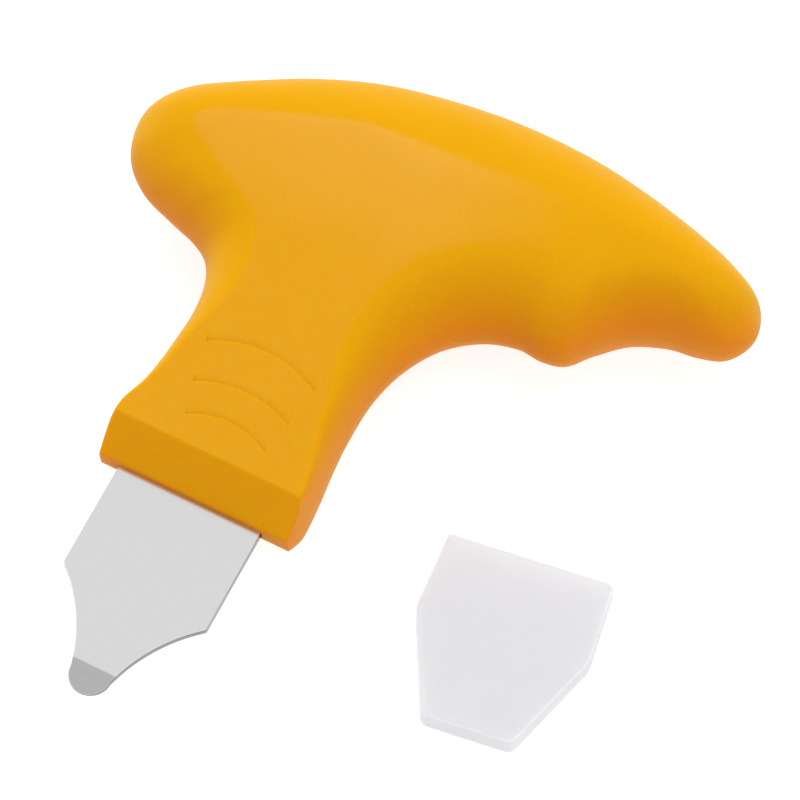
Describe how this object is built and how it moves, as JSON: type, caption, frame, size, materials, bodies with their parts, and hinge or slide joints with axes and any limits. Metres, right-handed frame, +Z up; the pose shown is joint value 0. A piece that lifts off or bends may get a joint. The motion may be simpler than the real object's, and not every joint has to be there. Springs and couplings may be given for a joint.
{
  "type": "t-handle pry knife",
  "caption": "T-shaped yellow moulded palm handle with finger scallops and a flat steel blade that narrows to a rounded nose, lying beside its loose translucent blade cap.",
  "frame": {"origin": "middle of the object's box on the surface it lies on", "axes": "+Z up from the table, the blade points along -Y, the longer arm of the grip along +X"},
  "size_m": [0.0916, 0.0996, 0.0244],
  "materials": {
    "handle_plastic": "fine textured moulded yellow-orange plastic",
    "blade_steel": "satin sheet steel with bright deburred edges and a ground nose",
    "cap_plastic": "frosted translucent white plastic"
  },
  "bodies": {
    "knife": {"handle_front_shell": "handle_plastic", "handle_back_shell": "handle_plastic", "blade": "blade_steel"},
    "cap": {"blade_cap": "cap_plastic"}
  },
  "joints": [
    {"name": "cap_lift", "type": "slide", "parent": "knife", "child": "cap", "axis": [0, 0, 1], "range_m": [0, 0.05]}
  ]
}
